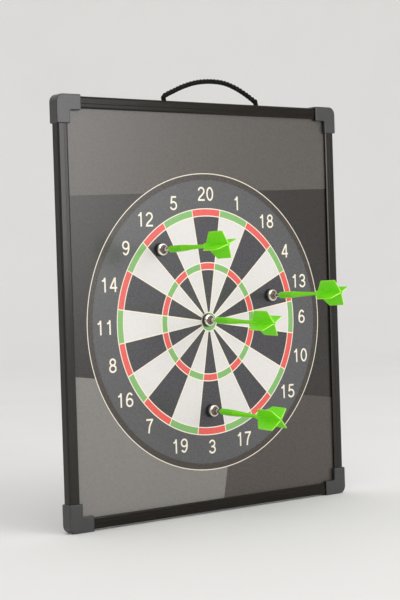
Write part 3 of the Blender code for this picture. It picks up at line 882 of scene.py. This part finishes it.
upright_rail = rail_finish("upright_rail_black", (1, 1, 120), 0.36)
level_rail = rail_finish("level_rail_black", (120, 1, 1), 0.15)
for quarters, name in enumerate(("left_rail", "top_rail", "right_rail", "bottom_rail")):
    low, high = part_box(name)
    half_length = max(high.x - low.x, high.z - low.z) / 2
    reach = HALF_WIDTH if quarters % 2 == 0 else HALF_HEIGHT
    turn = Matrix.Rotation(quarters * QUARTER, 4, "Y")
    mesh = hollow_bar(half_length)
    mesh.transform(turn @ Matrix.Translation((-reach, RAIL_FRONT_Y, 0)))
    if name == "top_rail":
        drills = []
        for x in (ROPE_LEFT, ROPE_RIGHT):
            drill = [(0, -DRILL_REACH), (ROPE_HOLE_RADIUS, -DRILL_REACH),
                     (ROPE_HOLE_RADIUS, DRILL_REACH), (0, DRILL_REACH)]
            hole = grid_mesh("hole", [turned(drill, SMALL_SIDES)])
            hole.transform(Matrix.Translation((x, RAIL_MID_Y, HALF_HEIGHT)))
            drills.append(hole)
        mesh = cut(mesh, drills)
    finish = upright_rail if quarters % 2 == 0 else level_rail
    rail = show(f"{name}_bar", mesh, finish, "board", "rail", name)
    print(f"{rail.name}: {2 * half_length * 1000:.0f} mm long, {len(mesh.polygons)} faces")

# %% [markdown]
# ## The corner caps
#
# Each corner has a grey moulded cap that sleeves over two rail ends. It is an L with a wide
# outer rounding and softened edges. Rings of the L's outline, drawn in a little towards the
# front and back, make the rounded edge. The inside is then cut out: an L-shaped sleeve for
# the rails, a slot that the panel enters, and two countersinks in the back for the screws.

# %% Cap shapes
CAP_PROUD = 1.6 * MM
CAP_REACH = 27.4 * MM       # end of an arm, from the board's outer corner
CAP_INNER = 14.2 * MM
CAP_ROUND = 8.0 * MM        # of the outer corner, then of the inner one and the arms' ends
CAP_INNER_ROUND = 1.6 * MM
CAP_END_ROUND = 1.1 * MM
CAP_EDGE = 0.9 * MM
CAP_WALL = 1.3 * MM
CAP_DEPTH = -CAP_FRONT_Y
PANEL_WALL = 1.2 * MM
CLEARANCE = 0.3 * MM
SLEEVE_ROUND = 0.4 * MM
CUTTER_SPARE = 10 * MM      # how far a cutter reaches past what it cuts
CUTTER_OVERLAP = 0.5 * MM


def l_outline(outer, inner, end, outer_round, inner_round, end_round):
    """An L with its corner at the origin's side and arms along +X and +Z."""
    corners = [
        (outer, outer), (end, outer), (end, inner), (inner, inner), (inner, end), (outer, end),
    ]
    rounds = [outer_round, end_round, end_round, inner_round, end_round, end_round]
    return softened(corners, rounds, 6)


def inward(outline):
    """Unit normals of a closed outline that runs anticlockwise, pointing into it."""
    along = np.roll(outline, -1, 0) - np.roll(outline, 1, 0)
    normal = np.stack([-along[:, 1], along[:, 0]], -1)
    return normal / np.linalg.norm(normal, axis=1, keepdims=True)


def prism(outline, insets, depths):
    """Rings of an outline in XZ, each drawn in by an inset and set at a depth along -Y."""
    outline = np.array(outline)
    rings = outline + np.asarray(insets)[:, None, None] * inward(outline)
    rings = np.concatenate([rings, rings[:, :1]], 1)
    y = -np.broadcast_to(np.asarray(depths)[:, None], rings.shape[:2])
    return np.stack([rings[..., 0], y, rings[..., 1]], -1)


def cap_shell():
    """The solid L with edges rounded front and back: inset e(1 − sin t), depth e(1 − cos t)."""
    rounds = CAP_ROUND, CAP_INNER_ROUND, CAP_END_ROUND
    outline = l_outline(-CAP_PROUD, CAP_INNER, CAP_REACH, *rounds)
    t = np.linspace(0, QUARTER, 6)
    just_past = CAP_EDGE + FLAT_HOLD
    inset = np.array([just_past, *CAP_EDGE * (1 - np.sin(t)), 0])
    depth = np.array([0, *CAP_EDGE * (1 - np.cos(t)), just_past])
    insets, depths = np.append(inset, inset[::-1]), np.append(depth, CAP_DEPTH - depth[::-1])
    return grid_mesh("shell", [prism(outline, insets, depths)], lids=True)


def cap_cutters(screws):
    """Sleeve for the rails, slot for the panel, and a countersink for each screw."""
    beyond = CAP_REACH + CUTTER_SPARE
    wall = CAP_INNER - PANEL_WALL
    sleeve = l_outline(-CLEARANCE, wall, beyond, CAP_ROUND - CAP_WALL, SLEEVE_ROUND, 0)
    slot_ends = wall - CUTTER_OVERLAP, CAP_INNER + CUTTER_SPARE
    slot = l_outline(*slot_ends, beyond, 0, SLEEVE_ROUND, 0)
    panel_front = -FACE_Y + CLEARANCE
    panel_back = -RAIL_BACK_Y + CAP_WALL
    cutters = [
        grid_mesh("sleeve", [prism(sleeve, (0, 0), (CAP_WALL, CAP_DEPTH - CAP_WALL))], lids=True),
        grid_mesh("slot", [prism(slot, (0, 0), (panel_back, panel_front))], lids=True),
    ]
    cone = turned(np.array([(0, -0.3), (3.0, -0.3), (1.4, 1.7), (0, 1.7)]) * MM, SMALL_SIDES)
    for x, z in screws:
        cutters.append(grid_mesh("sink", [moved(cone, facing_out(x, 0, z))]))
    return cutters


# %% Place the four caps
cap_finish = finish_of(
    "moulded_grey", ((0.024, 0.025, 0.025), (0.034, 0.035, 0.035)), (0.28, 0.38), grain=1.2 * MM,
    bump=0.20, relief=0.03 * MM, specular_ior_level=0.55,
)
CORNERS = {                 # signs of X and Z
    "bottom_left": (-1, -1), "top_left": (-1, 1), "top_right": (1, 1), "bottom_right": (1, -1),
}
for name, (sx, sz) in CORNERS.items():
    screws = []
    for arm in "ab":
        low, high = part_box(f"{name}_screw_{arm}")
        middle = (low + high) / 2
        screws.append((HALF_WIDTH - sx * middle.x, HALF_HEIGHT - sz * middle.z))
    mesh = cut(cap_shell(), cap_cutters(screws))
    mesh.transform(Matrix((
        (-sx, 0, 0, sx * HALF_WIDTH), (0, 1, 0, 0), (0, 0, -sz, sz * HALF_HEIGHT), (0, 0, 0, 1),
    )))
    show(f"{name}_cap_shell", tidy_mesh(mesh), cap_finish, "board", "cap", f"{name}_cap")
    print(f"{name}_cap_shell: {len(mesh.polygons)} faces")

# %% [markdown]
# ## Screws, keys and the inside of the panel
#
# Two small countersunk screws hold each cap from behind. A cross recess is sunk into the head
# by a height function on a polar grid, and the thread is a wave that climbs round the shank.
# The keys, the rope's stops and the panel's inner layers have the right shape already, so
# they only get a finish.

# %% Screws
SCREW_HEAD = 2.25 * MM      # radius of the flat of the head
RECESS_ARM = 1.30 * MM      # half length of an arm of the cross
RECESS_HALF = 0.34 * MM     # half width of an arm
RECESS_DEPTH = 0.75 * MM
THREAD_PITCH = 0.65 * MM
POINT_LENGTH = 1.2 * MM


def box_mask(x, half, soft=0.12 * MM):
    """1 inside ±half, 0 outside, with a short ramp between."""
    return np.clip((half - np.abs(x)) / soft + 0.5, 0, 1)


def screw_skin(length):
    """Head with a cross recess, countersink, threaded shank and point, from the head down."""
    a = np.linspace(0, TURN, SMALL_SIDES + 1)[None]
    head = np.linspace(0, SCREW_HEAD, 22)[:, None]
    x, y = head * np.sin(a), head * np.cos(a)
    arms = [box_mask(u, RECESS_HALF) * box_mask(v, RECESS_ARM) for u, v in ((x, y), (y, x))]
    cross = np.maximum(*arms)
    taper = np.clip(1.6 - np.hypot(x, y) / RECESS_ARM, 0, 1)
    countersink = turned(np.array([(2.3, 0.05), (2.3, 0.12), (1.1, 1.2)]) * MM, SMALL_SIDES)
    h = np.linspace(1.3 * MM, length, 60)[:, None]
    point = np.clip((length - h) / POINT_LENGTH, 0, 1)
    thread = (0.97 + 0.13 * np.cos(TURN * h / THREAD_PITCH - a)) * MM
    return np.concatenate([
        spun(head, a, RECESS_DEPTH * cross * taper), countersink,
        spun(thread * (0.35 + 0.65 * point), a, h), turned([(0, length)], SMALL_SIDES),
    ])


screw_finish = finish_of(
    "zinc_screw", ((0.50, 0.50, 0.51), (0.66, 0.66, 0.67)), (0.22, 0.38), grain=0.6 * MM,
    bump=0.10, relief=0.01 * MM, metallic=1.0,
)
screw_nodes = sorted(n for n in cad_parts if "_screw_" in n)
for name in screw_nodes:
    low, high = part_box(name)
    place = facing_out((low.x + high.x) / 2, high.y, (low.z + high.z) / 2)
    skin = moved(screw_skin(high.y - low.y), place)
    show(f"{name}_turned", grid_mesh(name, [skin]), screw_finish, "board", "screw", name)
print(len(screw_nodes), "screws")

# %% Finishes for the nodes that keep their shape
NODE_FINISHES = {
    "key": finish_of(
        "corner_key_nylon", ((0.050, 0.050, 0.050), (0.070, 0.070, 0.070)), (0.5, 0.7),
    ),
    "stop": finish_of(
        "crimped_steel", ((0.55, 0.55, 0.57), (0.68, 0.68, 0.70)), (0.3, 0.5),
        grain=0.8 * MM, metallic=1.0,
    ),
    "steel_sheet": finish_of(
        "rolled_steel", ((0.48, 0.49, 0.50), (0.60, 0.61, 0.62)), (0.3, 0.45),
        stretch=(40, 1, 1), metallic=1.0,
    ),
    "core_board": finish_of(
        "fibre_board", ((0.28, 0.18, 0.10), (0.42, 0.30, 0.19)), (0.8, 0.95), grain=1.5 * MM,
        stretch=(4, 1, 1), bump=0.4, relief=0.1 * MM,
    ),
    "back_sheet": finish_of(
        "grained_back", ((0.030, 0.030, 0.031), (0.052, 0.051, 0.050)), (0.55, 0.75),
        grain=1.6 * MM, bump=0.5, relief=0.12 * MM,
    ),
}
for name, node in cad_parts.items():
    for word, finish in NODE_FINISHES.items():
        if word in name:
            node.data.materials.clear()
            node.data.materials.append(finish)
print("finished nodes that keep their shape")

# %% [markdown]
# ## The darts
#
# A dart is four pieces: a black disc magnet, a nickel cup that flares from a narrow stem, a
# green barrel with a diamond grip, and a push-on flight with four vanes. All are worked out
# on the dart's own axis, +Z away from the board, and then carried to their place. The barrel
# and flight tilt a degree or two on the cup's pin, as loose darts do.

# %% Painted shade and painted highlight that follow the form
def v_only(values):
    """UV coordinates that carry one number in V, and the middle of the range in U."""
    return np.stack([np.full_like(values, 0.5), values], -1)


def blended(material, tone, first, last):
    """The same finish, with a tone of painted shade or painted highlight mixed in by V between two
    (V, share) stops.
    """
    tree = material.node_tree
    base = tree.nodes["Principled BSDF"].inputs["Base Color"]
    own = base.links[0].from_socket
    place = wired(tree, "TexCoord").outputs["UV"]
    parts = wired(tree, "SeparateXYZ", (), {"Vector": place})
    limits = zip(RANGE_SOCKETS, (first[0], last[0], first[1], last[1]))
    share = wired(tree, "MapRange", limits, {"Value": parts.outputs["Y"]}).outputs["Result"]
    mix = wired(tree, "MixRGB", {"Color2": (*tone, 1)}, {"Fac": share, "Color1": own})
    tree.links.new(mix.outputs["Color"], base)
    return material


# %% Where each dart sits
TILT_PIVOT = 18 * MM
DARTS = {                   # tilt right, tilt up, roll of the vanes, in degrees
    "dart_1": (0.0, 1.5, 21.0),
    "dart_2": (-1.7, -1.6, 28.0),
    "dart_3": (0.9, 1.3, 24.0),
    "dart_4": (0.1, -2.3, 47.5),
}


def dart_places(name):
    """Matrices of the dart's foot, its tilted barrel and its rolled flight."""
    low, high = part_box(f"{name}_magnet")
    right, up, roll = (math.radians(v) for v in DARTS[name])
    foot = facing_out((low.x + high.x) / 2, FACE_Y, (low.z + high.z) / 2)
    tilt = Matrix.Rotation(right, 4, "Y") @ Matrix.Rotation(-up, 4, "X")
    pivot = Matrix.Translation((0, 0, TILT_PIVOT))
    barrel = foot @ pivot @ tilt @ pivot.inverted()
    return foot, barrel, barrel @ Matrix.Rotation(roll, 4, "Z")


# %% [markdown]
# ### Magnet and cup
#
# Both are turned pieces. A profile is given from the front down to the face, its corners are
# softened, and it is spun. The cup's flare is a quarter of an ellipse, which leaves the
# hollow that mirrors the room as one dark and one bright crescent. The hollow is also
# painted darker, a painted shade mixed into the nickel.

# %% Turned profiles
DISC_SIDES = 96


def magnet_profile():
    """Disc with softened rims."""
    outline = np.array([(0, 3.1), (6.8, 3.1), (6.8, 0.3), (0, 0.3)]) * MM
    return softened(outline, 0.45 * MM, closed=False)


def cup_profile():
    """Pin, stem, flare, rolled rim and straight side, down to the magnet."""
    t = np.linspace(0, QUARTER, 14)
    flare = np.stack([2.0 + 3.5 * (1 - np.cos(t)), 9.6 - 3.8 * np.sin(t)], -1)
    shank = [(1.4, 16.5), (2.0, 16.5), (2.0, 11.6), (2.25, 11.3), (2.25, 10.5), (2.0, 10.2)]
    outline = [
        (0, 21.5), (1.1, 21.5), (1.4, 21.2), *shank, *flare,
        (5.85, 5.75), (6.12, 5.5), (6.2, 5.15), (6.2, 4.75), (6.05, 4.6), (6.05, 4.4),
        (6.2, 4.25), (6.2, 3.6), (6.0, 3.4), (0, 3.4),
    ]
    return softened(np.array(outline) * MM, 0.05 * MM, 2, closed=False)


# %% [markdown]
# ### Barrel
#
# The barrel's outline swells over the grip and then tapers to a thin shaft. The grip is two
# families of grooves that wind in opposite directions, and what is left between them is a
# field of diamonds. With n grooves round the barrel, groove depth follows the cosine of
# n·a ± 2πh/p, where p is the distance along the barrel from one groove to the next.

# %% Barrel surface
GRIP = (18.4 * MM, 38.2 * MM)
GRIP_GROOVES = 8
GRIP_PITCH = 3.0 * MM
GRIP_DEPTH = 0.45 * MM
GRIP_FADE = 0.6 * MM        # over which the grooves grow at either end
GRIP_LAND = 0.25            # share of the wave that stays flat
GRIP_RINGS = (GRIP[0] - 0.35 * MM, GRIP[1] + 0.6 * MM)      # a fine turned ring at either end
GRIP_RING_DEPTH = 0.22 * MM
GRIP_RING_WIDTH = 0.28 * MM
BARREL_OUTLINE = np.array([     # height from the face, radius
    (16.8, 2.5), (17.1, 2.8), (18.0, 3.2), (21.0, 3.5), (27.0, 3.6), (34.0, 3.5), (38.4, 3.35),
    (43.0, 3.05), (50.0, 2.6), (60.0, 2.1), (72.0, 1.8), (81.5, 1.6),
]) * MM
NOSE = BARREL_OUTLINE[0]


def barrel_skin(sides=156):
    """Rows from the bore, over the nose, along the grip and down the shaft to the tail.

    The V coordinate is how deep a point lies in a groove, from 0 to 1.
    """
    grip = np.arange(*GRIP, 0.2 * MM)
    shaft = np.linspace(GRIP[1], 81.2 * MM, 60)
    h = np.concatenate([np.linspace(NOSE[0], GRIP[0], 7)[:-1], grip, shaft])[:, None]
    knots, size = BARREL_OUTLINE[:, 0], BARREL_OUTLINE[:, 1]
    slope = np.gradient(size, knots)
    i = np.clip(np.searchsorted(knots, h) - 1, 0, len(knots) - 2)
    span = knots[i + 1] - knots[i]
    t = (h - knots[i]) / span
    r = ((1 + 2 * t) * (1 - t)**2 * size[i] + t * (1 - t)**2 * span * slope[i]
         + t**2 * (3 - 2 * t) * size[i + 1] + t**2 * (t - 1) * span * slope[i + 1])
    a = np.linspace(0, TURN, sides + 1)[None]
    inside = np.clip(np.minimum(h - GRIP[0], GRIP[1] - h) / GRIP_FADE, 0, 1)
    waves = [np.cos(GRIP_GROOVES * a + sign * TURN * h / GRIP_PITCH) for sign in (-1, 1)]
    groove = inside * (np.clip(np.maximum(*waves), GRIP_LAND, 1) - GRIP_LAND) / (1 - GRIP_LAND)
    r = r - GRIP_DEPTH * groove
    for ring_at in GRIP_RINGS:
        r = r - GRIP_RING_DEPTH * np.exp(-((h - ring_at) / GRIP_RING_WIDTH)**2)
    skin = spun(r, a, h)
    bore = turned(np.array([(0, 22.2), (1.9, 22.2), (1.9, 16.85), (2.0, 16.8)]) * MM, sides)
    tail = turned(np.array([(1.45, 81.5), (0, 81.5)]) * MM, sides)
    # Groove depth goes to V, where the finish paints the grooves darker green as painted shade.
    depth = np.vstack([np.zeros((len(bore), sides + 1)), groove, np.zeros((len(tail), sides + 1))])
    return np.concatenate([bore, skin, tail]), v_only(depth)


# %% [markdown]
# ### Flight
#
# The flight is one moulding: a collar, a spine and four vanes. Its section is a plus sign
# whose arms grow and shrink along the axis, so rows of that section, carried along +Z, make
# the swept leading edge, the long outer edge and the trailing edge in one surface. Each vane
# is thickest at the spine, thins outwards, and ends in a small bead all along its edge.

# %% Flight surface
VANE_STATIONS = np.array([74.5, 77.0, 85.7, 87.2, 106.6, 107.9, 110.6]) * MM
VANE_REACH = np.array([1.0, 3.0, 13.4, 14.4, 14.4, 13.4, 1.0]) * MM
VANE_SHARES = np.array([    # columns across a vane, from its root to its edge
    0, 0.03, 0.08, 0.16, 0.28, 0.42, 0.56, 0.70, 0.80, 0.88, 0.93, 0.96, 0.98, 1.0,
])
VANE_ROOT = 0.50 * MM       # half thickness at the spine
VANE_TIP = 0.30 * MM        # half thickness near the outer edge
BEAD_WIDTH = 1.2 * MM
BEAD_RELIEF = 0.22 * MM
SPINE = np.array([          # height from the face, radius of the round part
    (82.5, 0.0), (82.5, 2.2), (73.5, 2.2), (73.5, 2.6), (73.8, 2.9), (75.2, 2.9), (75.5, 2.72),
    (75.8, 2.9), (80.0, 2.9), (84.0, 1.3), (110.4, 1.3), (110.9, 1.0), (111.0, 0.0),
]) * MM


def edge_distance(out, h):
    """How far a point of a vane lies inside its outer, leading and trailing edge."""
    inside = VANE_REACH.max() - out
    for first in (1, 5):
        at, to = VANE_STATIONS[first:first + 2]
        low, high = VANE_REACH[first:first + 2]
        across = (h - at) * (high - low) - (out - low) * (to - at)
        inside = np.minimum(inside, across / math.hypot(high - low, to - at))
    return inside


def flight_skin():
    """Rows of the plus-shaped section, from the socket inside the collar to the spine's tip.

    The V coordinate is the distance from the vane's edge, in bead widths, and at most 1.
    """
    body = np.arange(76.0, 110.5, 0.5) * MM
    near = np.concatenate([VANE_STATIONS, VANE_STATIONS[2:6] + 0.2 * MM])
    outside = np.unique(np.concatenate([body, near[near > 75.9 * MM]]))
    head, tail = SPINE[:8], SPINE[-3:]
    core = np.interp(outside, SPINE[7:, 0], SPINE[7:, 1])
    h = np.concatenate([head[:, 0], outside, tail[:, 0]])[:, None]
    core = np.concatenate([head[:, 1], core, tail[:, 1]])[:, None]
    reach = np.interp(h, VANE_STATIONS, VANE_REACH, 0, 0)
    reach[:len(head)] = 0
    reach[-len(tail):] = 0
    out = VANE_ROOT + (np.maximum(reach, VANE_ROOT) - VANE_ROOT) * VANE_SHARES
    inside = np.clip(edge_distance(out, h) / BEAD_WIDTH, 0, 1)
    half = VANE_ROOT + (VANE_TIP - VANE_ROOT) * np.clip(out / (12 * MM), 0, 1)
    half = half + BEAD_RELIEF * np.sin(math.pi * inside)**2 * (inside < 1)
    half = half * np.sqrt(np.clip(1 - (1 - inside / 0.35).clip(0, 1)**2, 0.12, 1))
    inside = np.where(reach > 0, np.hstack([inside, inside[:, ::-1]]), 1)
    out = np.concatenate([out, out[:, ::-1]], 1)
    side = np.concatenate([-half, half[:, ::-1]], 1)
    angle = np.linspace(-QUARTER / 2, QUARTER / 2, out.shape[1])[None]
    vane = np.hypot(out, side) > core
    radius = np.where(vane, np.hypot(out, side), core)
    steer = np.where(vane | (reach > core), np.arctan2(side, out), angle)
    turns = np.arange(4)[None, :, None] * QUARTER
    a = (steer[:, None] + turns).reshape(len(h), -1)
    r = np.repeat(radius[:, None], 4, 1).reshape(len(h), -1)
    # Distance from the edge goes to V, where the finish paints the edge beads lighter as a painted
    # highlight.
    v = np.tile(inside, 4)
    a, r, v = (np.hstack([grid, grid[:, :1]]) for grid in (a, r, v))
    return np.stack([r * np.cos(a), r * np.sin(a), h + 0 * a], -1), v_only(v)


# %% Finish and place the darts
cup_outline = cup_profile()


def cup_depth():
    """V of the cup, the share of painted shade: 1 in the flared hollow round the stem, 0 on the
    rim and on the pin.
    """
    radius, height = cup_outline.T / MM
    deep = np.clip((5.2 - radius) / 0.7, 0, 1) * np.clip((9.8 - height) / 0.4, 0, 1)
    return np.repeat((deep * (height > 5.7))[:, None], DISC_SIDES + 1, 1)


dart_finishes = {
    "magnet": finish_of(
        "black_ferrite", ((0.014, 0.014, 0.014), (0.026, 0.026, 0.025)), (0.40, 0.55),
        grain=1 * MM, bump=0.2,
    ),
    # The cup's flared hollow is painted a dark brown-grey: painted shade in the recess.
    "cup": blended(finish_of(
        "bright_nickel", ((0.72, 0.67, 0.60), (0.80, 0.76, 0.69)), (0.15, 0.26), grain=1 * MM,
        stretch=(4, 1, 4), bump=0.03, relief=0.01 * MM, metallic=1.0,
    ), (0.190, 0.155, 0.130), (0.05, 0.0), (0.95, 1.0)),
    # The barrel's grooves are painted a darker green: painted shade in the grip.
    "barrel": blended(finish_of(
        "green_barrel_nylon", ((0.215, 0.840, 0.004), (0.245, 0.900, 0.008)), (0.30, 0.40),
        grain=2 * MM, bump=0.08, relief=0.02 * MM, specular_ior_level=0.5,
    ), (0.090, 0.480, 0.003), (0.25, 0.0), (0.75, 0.60)),
    # The vanes' edge beads are painted a lighter, yellower green: a painted highlight along the
    # edges.
    "flight": blended(finish_of(
        "green_flight_nylon", ((0.210, 0.880, 0.004), (0.240, 0.940, 0.008)), (0.33, 0.43),
        grain=3 * MM, bump=0.06, relief=0.02 * MM, subsurface_weight=0.15,
        subsurface_scale=1.5 * MM,
    ), (0.480, 0.940, 0.100), (0.35, 0.8), (0.85, 0.0)),
}
dart_skins = {              # the grid of points, and UV coordinates where there are any
    "magnet": (turned(magnet_profile(), DISC_SIDES),),
    "cup": (turned(cup_outline, DISC_SIDES), v_only(cup_depth())),
    "barrel": barrel_skin(),
    "flight": flight_skin(),
}
for name in DARTS:
    foot, barrel, flight = dart_places(name)
    for part, place in (("magnet", foot), ("cup", foot), ("barrel", barrel), ("flight", flight)):
        skin, *uvs = dart_skins[part]
        mesh = grid_mesh(f"{name}_{part}_skin", [moved(skin, place)], uvs)
        show(f"{name}_{part}_skin", mesh, dart_finishes[part], name, part, f"{name}_{part}")

# %% [markdown]
# ## Last check
#
# The dressed object may stand only a little proud of the working model, so both boxes are
# compared and the largest growth along each axis is printed.

# %% Compare both boxes
visual_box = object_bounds()
growth = [
    max(cad_box[0][k] - visual_box[0][k], visual_box[1][k] - cad_box[1][k]) for k in range(3)
]
print("stands proud by at most", [round(g * 1000, 2) for g in growth], "mm along X, Y and Z")
